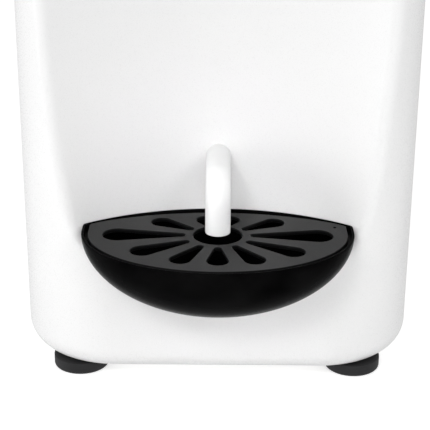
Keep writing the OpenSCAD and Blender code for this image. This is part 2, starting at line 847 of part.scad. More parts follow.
module hot_tank() color("silver")
    tank(hot_x, hot_y, hot_low_z + 14 + gap, hot_high_z - 14 - gap, hot_tank_r);
module hot_jacket_left() color("#4A4034")
    half_jacket(hot_x, hot_y, hot_low_z, hot_high_z, hot_jacket_r, hot_tank_r + 3.2, -1);
module hot_jacket_right() color("#4A4034")
    half_jacket(hot_x, hot_y, hot_low_z, hot_high_z, hot_jacket_r, hot_tank_r + 3.2, 1);

module heater_band() color("#B08A4A") {
    translate([hot_x, hot_y, hot_low_z + 40]) difference() {
        cylinder(h = 50, r = hot_tank_r + 2.6);
        translate([0, 0, -eps]) cylinder(h = 50 + 2 * eps, r = hot_tank_r + 0.1);
    }
}

module filter_base() color("#D5D9DC") {
    difference() {
        translate([filter_x[0] - 34, filter_y - 28, 196])
            cube([filter_x[1] - filter_x[0] + 68, 56, 28]);
        for (x = filter_x) translate([x, filter_y, 202])
            cylinder(h = 30, r = filter_neck_r + 0.08);
        translate([filter_x[0], filter_y, 199]) rotate([0, 90, 0])
            cylinder(h = filter_x[1] - filter_x[0], r = 2, $fn = 32);
    }
}

module cartridge(x) {
    translate([x, filter_y, 0]) {
        translate([0, 0, 204]) cylinder(h = filter_low_z - 204 + 2, r = filter_neck_r);
        translate([0, 0, filter_low_z]) cylinder(h = filter_high_z - filter_low_z, r = filter_r);
        translate([0, 0, filter_high_z]) cylinder(h = 8, r = filter_r - 4);
        translate([-24, -5, filter_high_z + 7]) cube([48, 10, 14]);
    }
}

module carbon_filter() color("#E9EEF2") cartridge(filter_x[0]);
module sediment_filter() color("#DDE6EE") cartridge(filter_x[1]);

module pump() color("#3B3F45") {
    translate([30, 20, 60]) rotate([0, 90, 0]) cylinder(h = 62, r = 19);
    translate([14, 1, 41]) cube([18, 38, 38]);
    translate([23, 20, 78]) cylinder(h = 16, r = 5);
    translate([44, 4, cold_low_z]) cube([34, 32, 44 - cold_low_z]);
}

module power_supply() color("#8C9094") {
    difference() {
        translate([28, 112, 124]) cube([104, 50, 44]);
        for (x = [36 : 8 : 124]) translate([x, 111, 158]) cube([3, 52, 12]);
    }
}

module main_board() color("#1F6B3A") {
    translate([138, 20, 214]) cube([1.6, 120, 130]);
    translate([126, 40, 230]) cube([12.2, 28, 30]);
    translate([130, 84, 240]) cube([8.2, 20, 20]);
    translate([132, 36, 290]) cube([6.2, 60, 24]);
}

// ---------- rear fittings ----------

module inlet_fitting() color("#E6E6E6") {
    translate([inlet_x, 0, fitting_z]) rotate([-90, 0, 0]) difference() {
        union() {
            translate([0, 0, rear_y - 20]) cylinder(h = 20 + rear_gear, r = 6);
            translate([0, 0, rear_y + 0.1]) cylinder(h = 4, r = 10);
        }
        translate([0, 0, rear_y + rear_gear - 16]) cylinder(h = 17, r = inlet_tube_r);
        translate([0, 0, rear_y - 21]) cylinder(h = 40, r = 2.2);
    }
}

module inlet_nut() color("#E6E6E6") {
    translate([inlet_x, rear_y - rear_t - 0.2, fitting_z]) rotate([90, 0, 0]) difference() {
        cylinder(h = 5, r = 10, $fn = 6);
        translate([0, 0, -eps]) cylinder(h = 5 + 2 * eps, r = 6.05, $fn = 48);
    }
}

module drain_port() color("#E6E6E6") {
    translate([drain_x, 0, fitting_z]) rotate([-90, 0, 0]) difference() {
        union() {
            translate([0, 0, rear_y - 20]) cylinder(h = 20 + 7, r = 7);
            translate([0, 0, rear_y + 0.1]) cylinder(h = 3, r = 11);
        }
        translate([0, 0, rear_y - 21]) cylinder(h = 40, r = 4.5);
    }
}

module drain_plug() color("#3A3A3A") {
    translate([drain_x, 0, fitting_z]) rotate([-90, 0, 0]) {
        translate([0, 0, rear_y - 8]) cylinder(h = 16, r = 4.44);
        translate([0, 0, rear_y + 7 + gap]) cylinder(h = rear_gear - 7 - gap, r = 8);
    }
}

module power_inlet() color("#1A1A1A") {
    translate([power_x, rear_y, fitting_z]) difference() {
        union() {
            translate([-14, -20, -10.5]) cube([28, 22, 21]);
            translate([-17, 0.1, -13]) cube([34, 2.4, 26]);
        }
        translate([-12, -13.5, -8]) cube([24, 20, 16]);
        translate([-power_x, -rear_y, -fitting_z]) pin_bars(0.02);
    }
}

module pin_bars(grow) {
    for (p = [[-7, -2], [0, 2], [7, -2]])
        translate([power_x + p[0] - 1 - grow, rear_y - 26, fitting_z + p[1] - 2 - grow])
            cube([2 + 2 * grow, 24, 4 + 2 * grow]);
}

module power_pins() color("silver") pin_bars(0);

module switch_frames() color("#1A1A1A") {
    for (x = switch_x) translate([x, rear_y, switch_z]) difference() {
        union() {
            translate([-9, -16, -12]) cube([18, 17, 24]);
            translate([-11, 0.1, -14.5]) cube([22, 1.8, 29]);
        }
        translate([-7, -9, -10.4]) cube([14, 12, 20.8]);
        translate([-10, -rocker_depth, 0]) rotate([0, 90, 0])
            cylinder(h = 20, r = rocker_pin_r + run_gap);
    }
}

module rocker(x) {
    translate([x - 6.6, rear_y - rocker_depth, switch_z]) rotate([90, 0, 90]) rotate(rocker_tilt) {
        linear_extrude(13.2) polygon([[-3, -8.4], [3.4, -9.2], [2.6, 0], [3.4, 9.2], [-3, 8.4]]);
        translate([0, 0, -1.8]) cylinder(h = 16.8, r = rocker_pin_r);
    }
}

module cold_rocker() color("#1E8F4E") rocker(switch_x[0]);
module hot_rocker() color("#B3261E") rocker(switch_x[1]);

// ---------- tubes ----------

module inlet_tube() color("#F5F5F5")
    pipe([[inlet_x, rear_y - 20.3, fitting_z], [inlet_x, 150, fitting_z], [inlet_x, 150, 210],
          [inlet_x, filter_y, 210], [filter_x[1] + 34.3, filter_y, 210]], tube_r);
module filtered_tube() color("#F5F5F5")
    pipe([[filter_x[0] - 34.3, filter_y, 210], [-140, filter_y, 210], [-140, 10, 210],
          [-90, 10, 210], [-90, 10, cold_high_z + gap]], tube_r);
module ambient_tube() color("#F5F5F5")
    pipe([[-4, filter_y - 28.3, 210], [-4, 40, 210], [-4, 40, 291], [-4, valve_y + 14.3, 291]], tube_r);
module cold_tube() color("#F5F5F5")
    pipe([[-40, 10, cold_high_z + gap], [-40, 10, 291], [-40, valve_y + 14.3, 291]], tube_r);
module hot_tube() color("#F5F5F5")
    pipe([[hot_x, hot_y, hot_high_z + gap], [hot_x, hot_y, 360], [16, hot_y, 360],
          [16, hot_y, 291], [16, valve_y + 14.3, 291]], tube_r);
module hot_feed_tube() color("#F5F5F5")
    pipe([[23, 20, 94.3], [23, 20, 188], [hot_x, 20, 188], [hot_x, 20, hot_low_z - gap]], tube_r);
module drain_tube() color("#F5F5F5")
    pipe([[drain_x, rear_y - 20.3, fitting_z], [drain_x, 152, fitting_z], [drain_x, 152, 26],
          [cold_x, 152, 26], [cold_x, cold_y + cold_jacket_r + gap, 26]], tube_r);

front_casing();
rear_panel();
base_pan();
top_cover();
inner_deck();
control_panel();
cold_button();
ambient_button();
hot_button();
indicator_lenses();
display_board();
spout();
spout_bushing();
spout_clip();
spout_seal();
outlet_elbow();
drip_tray();
drip_grate();
front_left_foot();
front_right_foot();
rear_left_foot();
rear_right_foot();
case_screws();
hinge_pins();
valve_block();
solenoid_coils();
cold_tank();
cold_jacket_left();
cold_jacket_right();
cold_block();
thermo_module();
heat_sink();
fan_frame();
fan_rotor();
hot_tank();
hot_jacket_left();
hot_jacket_right();
heater_band();
filter_base();
carbon_filter();
sediment_filter();
pump();
power_supply();
main_board();
inlet_fitting();
inlet_nut();
drain_port();
drain_plug();
power_inlet();
power_pins();
switch_frames();
cold_rocker();
hot_rocker();
inlet_tube();
filtered_tube();
ambient_tube();
cold_tube();
hot_tube();
hot_feed_tube();
drain_tube();
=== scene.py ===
import json
import math

import bmesh
import bpy
import numpy as np
from mathutils import Matrix, Vector


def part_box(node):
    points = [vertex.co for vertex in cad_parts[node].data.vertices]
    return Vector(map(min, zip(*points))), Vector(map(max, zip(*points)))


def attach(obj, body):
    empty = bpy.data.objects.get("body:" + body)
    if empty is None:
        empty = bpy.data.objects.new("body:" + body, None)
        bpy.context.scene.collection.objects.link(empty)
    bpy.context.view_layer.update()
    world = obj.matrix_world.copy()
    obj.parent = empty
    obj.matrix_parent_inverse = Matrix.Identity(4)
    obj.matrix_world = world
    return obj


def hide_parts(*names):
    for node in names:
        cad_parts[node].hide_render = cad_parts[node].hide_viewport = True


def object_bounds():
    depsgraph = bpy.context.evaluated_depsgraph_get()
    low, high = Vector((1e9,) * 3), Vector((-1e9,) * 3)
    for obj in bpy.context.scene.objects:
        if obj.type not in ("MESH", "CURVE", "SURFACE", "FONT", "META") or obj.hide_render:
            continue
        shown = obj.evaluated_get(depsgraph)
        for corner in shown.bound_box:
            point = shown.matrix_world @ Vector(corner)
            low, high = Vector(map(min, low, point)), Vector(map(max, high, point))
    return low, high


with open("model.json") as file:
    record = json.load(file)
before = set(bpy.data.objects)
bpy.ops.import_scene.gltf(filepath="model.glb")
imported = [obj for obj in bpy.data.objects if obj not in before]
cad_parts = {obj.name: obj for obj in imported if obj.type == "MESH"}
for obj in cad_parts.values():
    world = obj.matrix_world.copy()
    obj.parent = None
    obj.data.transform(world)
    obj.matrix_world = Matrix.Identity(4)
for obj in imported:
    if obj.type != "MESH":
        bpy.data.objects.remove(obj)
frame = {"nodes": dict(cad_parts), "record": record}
cad_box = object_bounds()

MM = 0.001


# ---------- places, read from the CAD nodes, in millimetres ----------

def span(node):
    """The node's lowest and highest corner."""
    low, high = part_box(node)
    return np.array(low) / MM, np.array(high) / MM


case_lo, case_hi = span("front_casing")
cover_lo, cover_hi = span("top_cover")
spout_lo, spout_hi = span("spout")
grate_lo, grate_hi = span("drip_grate")
tray_lo, tray_hi = span("drip_tray")
rear_lo, rear_hi = span("rear_panel")
deck_lo = span("inner_deck")[0]
pan_lo, pan_hi = span("base_pan")
panel_lo, panel_hi = span("control_panel")
pin_lo, pin_hi = span("hinge_pins")

HALF_W = case_hi[0]
FACE_Y = case_lo[1]
REAR_Y = case_hi[1]
BASE_Z = case_lo[2]
PART_Z = case_hi[2]
TOP_Z = cover_hi[2]
SPOUT_R = spout_hi[0]
HUB_Y = spout_lo[1] + SPOUT_R
GRATE_Z = grate_hi[2]
RIM_Z = tray_hi[2]
TRAY_HALF = tray_hi[0]
TRAY_REACH = FACE_Y - tray_lo[1]
TRAY_DEPTH = RIM_Z - tray_lo[2]
TRAY_BACK = tray_hi[1]

BUTTONS = {"cold_button": "cold_key", "ambient_button": "ambient_key", "hot_button": "hot_key"}
FEET = ("front_left_foot", "front_right_foot", "rear_left_foot", "rear_right_foot")


# ---------- sizes of the moulded shells, in millimetres ----------

# rounding of the casing: its upright corners, and its bottom and top edges
FRONT_R = 72.0
REAR_R = 26.0
BOTTOM_R = 20.0
TOP_R = 21.0

# the tray in its place: its gap to the recess wall and round the bowl, and its tips' rounding
TRAY_CLEAR = 0.8
TRAY_GAP = 0.4
TRAY_CORNER = 4.5
POCKET_RISE = 1.0

# the recess is turned about an upright axis: its wall leans back in a long arc, up to a dome
RECESS_R = 164.3
RECESS_Y = TRAY_BACK + TRAY_CLEAR - RECESS_R
LEAN_R = 950.0
RISE = 195.0
DOME_R = 45.0
WIDE_Z = GRATE_Z + RISE
WIDE_R = RECESS_R + LEAN_R - math.sqrt(LEAN_R ** 2 - RISE ** 2)

# the recess's edge: a soft crest, which sharpens towards and below the rim and runs out beside the bowl
CREST_R = 7.0
CREST_LOW_R = 2.0
CREST_FADE = 20.0
RUNOUT = 30.0
RUNOUT_SINK = 3.0
RUNOUT_SLOPE = 0.86
RUNOUT_END_Z = RIM_Z - TRAY_DEPTH + 1
BOWL_TOP_R = math.hypot(FACE_Y - RECESS_Y, TRAY_HALF)

# the hollow inside the casing, from its floor to below the deck
INNER_HALF = 134.0
INNER_FRONT = -36.0
INNER_FLOOR = 11.0
INNER_BACK = 8.0
DECK_ROOM = 3.0

# the tub above the deck
DECK_GAP = 0.6
TUB_WALL = 7.0

# the opening for the rear panel, cut well past the back and the top
REAR_GAP = 0.3
REAR_CUT_Y = 100.0
THROUGH = 9.0

# the opening under the casing for the base pan
PAN_GAP = 0.4
PAN_FRONT_R = 46.0
PAN_REAR_R = 8.0
PAN_HEIGHT = 14.0

# the holes behind the buttons, deep enough for a pressed cap
BUTTON_HOLE_R = 12.5
BUTTON_HOLE_DEPTH = 16.0

# the cover's walls
COVER_WALL = 9.0
COVER_ROOF = 7.0


# ---------- distance fields of the moulded shells ----------

def round_and(a, b, r):
    """Inside both, with the edge where they meet rounded."""
    edge = np.hypot(np.maximum(a + r, 0), np.maximum(b + r, 0))
    return np.minimum(np.maximum(a + r, b + r), 0) + edge - r


def rounded_plan(x, y, half, low_y, high_y, front_r, rear_r):
    """Distance to a rectangle in plan, with other corners in front than behind."""
    mid, reach = (low_y + high_y) / 2, (high_y - low_y) / 2
    r = np.where(y < mid, front_r, rear_r)
    qx, qy = np.abs(x) - half + r, np.abs(y - mid) - reach + r
    return np.minimum(np.maximum(qx, qy), 0) + np.hypot(np.maximum(qx, 0), np.maximum(qy, 0)) - r


def plan(x, y, inset=0.0):
    """Distance to the casing's plan outline, set in by inset."""
    return rounded_plan(x, y, HALF_W, FACE_Y, REAR_Y, FRONT_R, REAR_R) + inset


def box_field(x, y, z, low, high):
    """Distance to an upright box, exact inside it."""
    d = np.maximum(np.maximum(low[0] - x, x - high[0]), np.maximum(low[1] - y, y - high[1]))
    return np.maximum(d, np.maximum(low[2] - z, z - high[2]))


def block(x, y, z):
    """Outer form of casing and cover together."""
    side = plan(x, y)
    return np.maximum(round_and(side, BASE_Z - z, BOTTOM_R), round_and(side, z - TOP_Z, TOP_R))


def recess(x, y, z):
    """The scooped recess, with its runout below the tray's rim."""
    rho = np.hypot(x, y - RECESS_Y)
    drop = np.clip(RIM_Z - z, 0, TRAY_DEPTH)
    half_squared = TRAY_HALF ** 2 * (1 - (drop / TRAY_DEPTH) ** 2)
    bowl_edge = np.sqrt((FACE_Y - RECESS_Y) ** 2 + half_squared)
    runout = bowl_edge + np.interp(drop, (0, RUNOUT), (RECESS_R - BOWL_TOP_R, -RUNOUT_SINK))
    rise = np.clip(WIDE_Z - z, 0, WIDE_Z - GRATE_Z)
    leaning = WIDE_R - LEAN_R + np.sqrt(LEAN_R ** 2 - rise ** 2)
    radius = np.where(z < RIM_Z, runout, leaning)
    wall = np.where(z < RIM_Z, RUNOUT_SLOPE, 1.0) * (rho - radius)
    dome = np.hypot(np.maximum(rho - WIDE_R + DOME_R, 0), np.maximum(z - WIDE_Z, 0)) - DOME_R
    return np.where(z > WIDE_Z, dome, wall)


def pocket(x, y, z):
    """Space of the drip tray in the casing."""
    a, c = TRAY_HALF + TRAY_GAP, TRAY_DEPTH + TRAY_GAP
    f = np.hypot(x / a, (z - RIM_Z) / c)
    slope = np.hypot(x / a ** 2, (z - RIM_Z) / c ** 2) + 1e-9
    tube = (f - 1) * f / slope
    rho = np.hypot(x, y - RECESS_Y)
    return np.maximum(round_and(tube, rho - RECESS_R, TRAY_CORNER), z - RIM_Z - POCKET_RISE)


def pan_opening(x, y, z):
    """Opening in the bottom for the base pan."""
    low, high = pan_lo[:2] - PAN_GAP, pan_hi[:2] + PAN_GAP
    half = (high[0] - low[0]) / 2
    side = rounded_plan(x, y, half, low[1], high[1], PAN_FRONT_R, PAN_REAR_R)
    return np.maximum(side, z - BASE_Z - PAN_HEIGHT)


def button_hole(name, x, y, z):
    """Round hole in the face behind a button."""
    low, high = span(name)
    centre = (low + high) / 2
    side = np.hypot(x - centre[0], z - centre[2]) - BUTTON_HOLE_R
    return np.maximum(side, y - FACE_Y - BUTTON_HOLE_DEPTH)


def casing_field(x, y, z):
    """The front casing: the block without its recess, tray pocket, hollow, tub and openings."""
    outer = block(x, y, z)
    crest = np.interp(z, (RIM_Z - RUNOUT, RIM_Z + CREST_FADE), (CREST_LOW_R, CREST_R))
    solid = round_and(outer, -recess(x, y, z), crest)
    solid = np.where(z < RUNOUT_END_Z, outer, solid)
    solid = np.maximum(solid, z - PART_Z)
    inner_low = (-INNER_HALF, INNER_FRONT, BASE_Z + INNER_FLOOR)
    inner_high = (INNER_HALF, REAR_Y - INNER_BACK, deck_lo[2] - DECK_ROOM)
    rear_low = (rear_lo[0] - REAR_GAP, REAR_CUT_Y, rear_lo[2] - REAR_GAP)
    rear_high = (rear_hi[0] + REAR_GAP, REAR_Y + THROUGH, PART_Z + THROUGH)
    holes = [
        pocket(x, y, z),
        pan_opening(x, y, z),
        box_field(x, y, z, inner_low, inner_high),
        box_field(x, y, z, rear_low, rear_high),
        np.maximum(plan(x, y, TUB_WALL), deck_lo[2] - DECK_GAP - z),
    ]
    holes += [button_hole(name, x, y, z) for name in BUTTONS]
    for hole in holes:
        solid = np.maximum(solid, -hole)
    return solid


def cover_field(x, y, z):
    """The lifting cover: the top of the block, hollow below."""
    solid = np.maximum(block(x, y, z), cover_lo[2] - z)
    cavity = np.maximum(plan(x, y, COVER_WALL), z - TOP_Z + COVER_ROOF)
    return np.maximum(solid, -cavity)


# ---------- meshing of a field, in millimetres ----------

# the grid starts just off the block's outer faces
CELL = 3.0
GRID_HALF = 153.1
GRID_PAD = 3.1

# search for a crossing on a grid edge; a vertex's pull to the mean crossing, and its reach in cells
CROSSING_STEPS = 8
CROSSING_GUARD = 0.02
PLANE_WEIGHT = 0.02
VERTEX_REACH = 0.9

# faces flatter than this (radians) are merged, and edges sharper than this (degrees) stay sharp
SHELL_FLAT = 0.0015
SHELL_CREASE = 24.0


def gradient(field, p, step=0.02):
    """Unit slope of the field at the points p."""
    g = np.empty_like(p)
    for k in range(3):
        d = np.zeros(3)
        d[k] = step
        g[:, k] = field(*(p + d).T) - field(*(p - d).T)
    return g / np.maximum(np.linalg.norm(g, axis=1, keepdims=True), 1e-12)


def crossings(field, base, axis, cell, f0, f1):
    """Where the field is zero on the grid edges that start at base, by guarded false position."""
    t0, t1 = np.zeros(len(base)), np.ones(len(base))
    for _ in range(CROSSING_STEPS):
        guard = CROSSING_GUARD * (t1 - t0)
        t = np.clip(t0 + (t1 - t0) * f0 / (f0 - f1), t0 + guard, t1 - guard)
        p = base.copy()
        p[:, axis] += t * cell
        f = field(*p.T)
        same = (f < 0) == (f0 < 0)
        t0, f0 = np.where(same, t, t0), np.where(same, f, f0)
        t1, f1 = np.where(same, t1, t), np.where(same, f1, f)
    p = base.copy()
    p[:, axis] += (t0 - f0 * (t1 - t0) / (f1 - f0)) * cell
    return p


def cell_vertices(cells, points, normals, cell):
    """For each crossed cell, the point nearest to all of its tangent planes."""
    keys, index = np.unique(cells, return_inverse=True)
    total = len(keys)
    size = np.bincount(index, minlength=total)[:, None]
    centre = np.stack([np.bincount(index, points[:, k], total) for k in range(3)], 1) / size
    offset = np.einsum("ij,ij->i", normals, points - centre[index])
    ata = np.empty((total, 3, 3))
    atb = np.empty((total, 3))
    for i in range(3):
        atb[:, i] = np.bincount(index, normals[:, i] * offset, total)
        for j in range(3):
            ata[:, i, j] = np.bincount(index, normals[:, i] * normals[:, j], total)
    ata += np.eye(3) * PLANE_WEIGHT * size[:, :, None]
    move = np.linalg.solve(ata, atb[:, :, None])[:, :, 0]
    length = np.linalg.norm(move, axis=1, keepdims=True)
    return keys, centre + move * np.minimum(1, VERTEX_REACH * cell / np.maximum(length, 1e-9))


def contour(field, low, high, cell):
    """Dual contouring: one vertex in each cell that the surface crosses, drawn to its edges and corners."""
    count = [int(math.ceil((b - a) / cell)) + 1 for a, b in zip(low, high)]
    axes = [low[k] + cell * np.arange(count[k]) for k in range(3)]
    grid = field(*np.meshgrid(*axes, indexing="ij"))
    inside = grid < 0
    cells, points, normals, quads = [], [], [], []
    stride = np.array([count[1] * count[2], count[2], 1])
    for axis in range(3):
        a, b = (axis + 1) % 3, (axis + 2) % 3
        lower = [slice(None)] * 3
        upper = [slice(None)] * 3
        lower[axis] = slice(0, -1)
        upper[axis] = slice(1, None)
        starts_inside = inside[tuple(lower)]
        at = np.argwhere(starts_inside != inside[tuple(upper)])
        at = at[(at[:, a] > 0) & (at[:, b] > 0)]
        end = at.copy()
        end[:, axis] += 1
        base = np.stack([axes[k][at[:, k]] for k in range(3)], 1)
        p = crossings(field, base, axis, cell, grid[tuple(at.T)], grid[tuple(end.T)])
        n = gradient(field, p)
        corners = []
        for da, db in ((0, 0), (-1, 0), (-1, -1), (0, -1)):
            corner = at.copy()
            corner[:, a] += da
            corner[:, b] += db
            corners.append(corner @ stride)
            points.append(p)
            normals.append(n)
        cells += corners
        loop = np.stack(corners, 1)
        flip = ~starts_inside[tuple(at.T)]
        loop[flip] = loop[flip][:, ::-1]
        quads.append(loop)
    cells, points, normals = np.concatenate(cells), np.concatenate(points), np.concatenate(normals)
    keys, vertices = cell_vertices(cells, points, normals, cell)
    return vertices, np.searchsorted(keys, np.concatenate(quads))


def link(name, mesh):
    """A new object of the mesh in the scene."""
    obj = bpy.data.objects.new(name, mesh)
    bpy.context.scene.collection.objects.link(obj)
    return obj


def shell_object(name, field, low_z, high_z):
    """A mesh of the field with its flat parts merged, shaded by the field's own slope."""
    low = (-GRID_HALF, FACE_Y - GRID_PAD, low_z - GRID_PAD)
    high = (GRID_HALF, REAR_Y + GRID_PAD, high_z + GRID_PAD)
    vertices, quads = contour(field, low, high, CELL)
    vertices = np.clip(vertices, np.array(cad_box[0]) / MM, np.array(cad_box[1]) / MM)
    mesh = bpy.data.meshes.new(name)
    mesh.from_pydata((vertices * MM).tolist(), [], quads.tolist())
    mesh.validate()
    bm = bmesh.new()
    bm.from_mesh(mesh)
    bmesh.ops.dissolve_limit(bm, angle_limit=SHELL_FLAT, verts=bm.verts[:], edges=bm.edges[:])
    bmesh.ops.triangulate(bm, faces=[f for f in bm.faces if len(f.verts) > 4])
    bm.to_mesh(mesh)
    bm.free()
    place = np.array([v.co for v in mesh.vertices]) / MM
    slope = gradient(field, place, 0.05)
    mesh.polygons.foreach_set("use_smooth", [True] * len(mesh.polygons))
    loop_vertex = np.empty(len(mesh.loops), np.int64)
    mesh.loops.foreach_get("vertex_index", loop_vertex)
    face = np.empty(len(mesh.polygons) * 3)
    mesh.polygons.foreach_get("normal", face)
    sizes = np.empty(len(mesh.polygons), np.int64)
    mesh.polygons.foreach_get("loop_total", sizes)
    face = np.repeat(face.reshape(-1, 3), sizes, axis=0)
    smooth = slope[loop_vertex]
    near = np.einsum("ij,ij->i", smooth, face) > math.cos(math.radians(SHELL_CREASE))
    mesh.normals_split_custom_set(np.where(near[:, None], smooth, face).tolist())
    return link(name, mesh)


# ---------- plain mesh helpers ----------

def clean_mesh(mesh, distance):
    """Joins doubled vertices and turns the faces outwards."""
    bm = bmesh.new()
    bm.from_mesh(mesh)
    bmesh.ops.remove_doubles(bm, verts=bm.verts[:], dist=distance)
    bmesh.ops.recalc_face_normals(bm, faces=bm.faces[:])
    bm.to_mesh(mesh)
    bm.free()


def mesh_object(name, vertices, faces, smooth=35):
    """An object of the faces, shaded smooth except at edges sharper than smooth degrees."""
    mesh = bpy.data.meshes.new(name)
    mesh.from_pydata([tuple(np.asarray(v) * MM) for v in vertices], [], faces)
    mesh.validate()
    clean_mesh(mesh, 1e-6)
    mesh.polygons.foreach_set("use_smooth", [True] * len(mesh.polygons))
    mesh.set_sharp_from_angle(angle=math.radians(smooth))
    return link(name, mesh)


def rings_to_mesh(rings, closed=False):
    """Faces between rings of equal length; the ends are filled unless the rings close on themselves."""
    n = len(rings[0])
    vertices = [p for ring in rings for p in ring]
    faces = []
    for r in range(len(rings) - (0 if closed else 1)):
        s = (r + 1) % len(rings)
        for i in range(n):
            j = (i + 1) % n
            faces.append((r * n + i, r * n + j, s * n + j, s * n + i))
    if not closed:
        faces.append(tuple(range(n - 1, -1, -1)))
        faces.append(tuple((len(rings) - 1) * n + i for i in range(n)))
    return vertices, faces


def lathe(profile, centre, axis="z", steps=72):
    """A closed profile of (radius, height) turned about an axis through centre."""
    along = "xyz".index(axis)
    across, up = [k for k in range(3) if k != along]
    rings = []
    for k in range(steps):
        a = 2 * math.pi * k / steps
        ring = []
        for r, h in profile:
            p = list(centre)
            p[across] += r * math.cos(a)
            p[up] += r * math.sin(a)
            p[along] += h
            ring.append(tuple(p))
        rings.append(ring)
    return rings_to_mesh(rings, closed=True)


def arc(cx, cy, r, start, end, steps):
    """Points on an arc, in degrees."""
    out = []
    for k in range(steps + 1):
        a = math.radians(start + (end - start) * k / steps)
        out.append((cx + r * math.cos(a), cy + r * math.sin(a)))
    return out


def circle(cx, cy, r, count):
    """Points on a full circle."""
    return arc(cx, cy, r, 0, 360 - 360 / count, count - 1)


def shade_flats(mesh, crease=40, flat_cosine=0.9995):
    """Smooth shading in which rounded edges take their slope from the big flat faces beside them."""
    mesh.polygons.foreach_set("use_smooth", [True] * len(mesh.polygons))
    mesh.set_sharp_from_angle(angle=math.radians(crease))
    largest = max(mesh.polygons, key=lambda polygon: polygon.area)
    flat = {}
    for polygon in mesh.polygons:
        if abs(polygon.normal.dot(largest.normal)) > flat_cosine:
            for index in polygon.vertices:
                flat[index] = polygon.normal.copy()
    corners = [Vector(c.vector) for c in mesh.corner_normals]
    for loop in mesh.loops:
        if loop.vertex_index in flat:
            corners[loop.index] = flat[loop.vertex_index]
    mesh.normals_split_custom_set(corners)


def plate_object(name, outlines, thickness, edge, place):
    """A flat plate with holes and rounded edges.

    The first outline is the outside, and place maps a point of the plate to the frame.
    """
    curve = bpy.data.curves.new(name + "_outline", "CURVE")
    curve.dimensions = "2D"
    curve.fill_mode = "BOTH"
    curve.extrude = (thickness / 2 - edge) * MM
    curve.bevel_depth = edge * MM
    curve.bevel_resolution = 2
    curve.offset = -edge * MM
    for points in outlines:
        spline = curve.splines.new("POLY")
        spline.points.add(len(points) - 1)
        for p, (x, y) in zip(spline.points, points):
            p.co = (x * MM, y * MM, 0, 1)
        spline.use_cyclic_u = True
    holder = link(name + "_holder", curve)
    bpy.context.view_layer.update()
    graph = bpy.context.evaluated_depsgraph_get()
    mesh = bpy.data.meshes.new_from_object(holder.evaluated_get(graph))
    bpy.data.objects.remove(holder)
    bpy.data.curves.remove(curve)
    mesh.name = name
    mesh.transform(place)
    clean_mesh(mesh, 2e-6)
    mesh.materials.clear()
    shade_flats(mesh)
    return link(name, mesh)


def finish_piece(obj, body, slot, material, *nodes):
    """Gives a piece its material and its body, and hides the CAD nodes it stands for; the slot is not used.
    """
    obj.data.materials.clear()
    obj.data.materials.append(material)
    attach(obj, body)
    if nodes:
        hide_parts(*nodes)


# ---------- materials ----------

# the range of Blender's pointiness over which an edge looks worn
WEAR_FROM = 0.54
WEAR_TO = 0.62
GRAIN_HEIGHT = 0.0004
COAT_ROUGHNESS = 0.08


def new_material(name):
    """An empty node material with one Principled shader."""
    material = bpy.data.materials.new(name)
    material.use_nodes = True
    tree = material.node_tree
    tree.nodes.clear()
    out = tree.nodes.new("ShaderNodeOutputMaterial")
    shader = tree.nodes.new("ShaderNodeBsdfPrincipled")
    tree.links.new(shader.outputs[0], out.inputs[0])
    return material, tree, shader


def noise(tree, scale, detail):
    """Noise in the object's own space."""
    where = tree.nodes.new("ShaderNodeTexCoord")
    node = tree.nodes.new("ShaderNodeTexNoise")
    node.inputs["Scale"].default_value = scale
    node.inputs["Detail"].default_value = detail
    node.inputs["Roughness"].default_value = 0.5
    tree.links.new(where.outputs["Object"], node.inputs["Vector"])
    return node.outputs["Fac"]


def remap(tree, value, low, high, from_low=0.3, from_high=0.7):
    """The value, mapped linearly from one range to another and kept inside it."""
    node = tree.nodes.new("ShaderNodeMapRange")
    node.inputs["From Min"].default_value = from_low
    node.inputs["From Max"].default_value = from_high
    node.inputs["To Min"].default_value = low
    node.inputs["To Max"].default_value = high
    tree.links.new(value, node.inputs["Value"])
    return node.outputs["Result"]


def colour_mix(tree, fac, high):
    """A colour mix towards high; the caller sets or links the low colour."""
    node = tree.nodes.new("ShaderNodeMix")
    node.data_type = "RGBA"
    node.inputs[7].default_value = (*high, 1)
    tree.links.new(fac, node.inputs[0])
    return node


def surface(name, colour, vary=0.03, rough=(0.3, 0.4), grain=900.0, bump=0.02, cloud=14.0, wear=0.0,
            metallic=0.0, coat=0.0, specular=0.5):
    """A moulded, cast or rolled surface: cloudy colour, uneven gloss, fine grain, lighter worn edges."""
    material, tree, shader = new_material(name)
    clouds = noise(tree, cloud, 4.0)
    fine = noise(tree, grain, 2.0)
    dark = tuple(max(c * (1 - vary), 0) for c in colour)
    light = tuple(min(c * (1 + vary) + vary * 0.02, 1) for c in colour)
    mix = colour_mix(tree, remap(tree, clouds, 0.0, 1.0), light)
    mix.inputs[6].default_value = (*dark, 1)
    tint = mix.outputs[2]
    if wear:
        geometry = tree.nodes.new("ShaderNodeNewGeometry")
        edges = remap(tree, geometry.outputs["Pointiness"], 0.0, wear, WEAR_FROM, WEAR_TO)
        worn = colour_mix(tree, edges, tuple(min(c * 1.25 + 0.05, 1) for c in colour))
        tree.links.new(tint, worn.inputs[6])
        tint = worn.outputs[2]
    tree.links.new(tint, shader.inputs["Base Color"])
    tree.links.new(remap(tree, fine, rough[0], rough[1]), shader.inputs["Roughness"])
    shader.inputs["Metallic"].default_value = metallic
    shader.inputs["Coat Weight"].default_value = coat
    shader.inputs["Coat Roughness"].default_value = COAT_ROUGHNESS
    shader.inputs["Specular IOR Level"].default_value = specular
    shader.inputs["IOR"].default_value = 1.5
    node = tree.nodes.new("ShaderNodeBump")
    node.inputs["Strength"].default_value = bump
    node.inputs["Distance"].default_value = GRAIN_HEIGHT
    tree.links.new(fine, node.inputs["Height"])
    tree.links.new(node.outputs["Normal"], shader.inputs["Normal"])
    return material


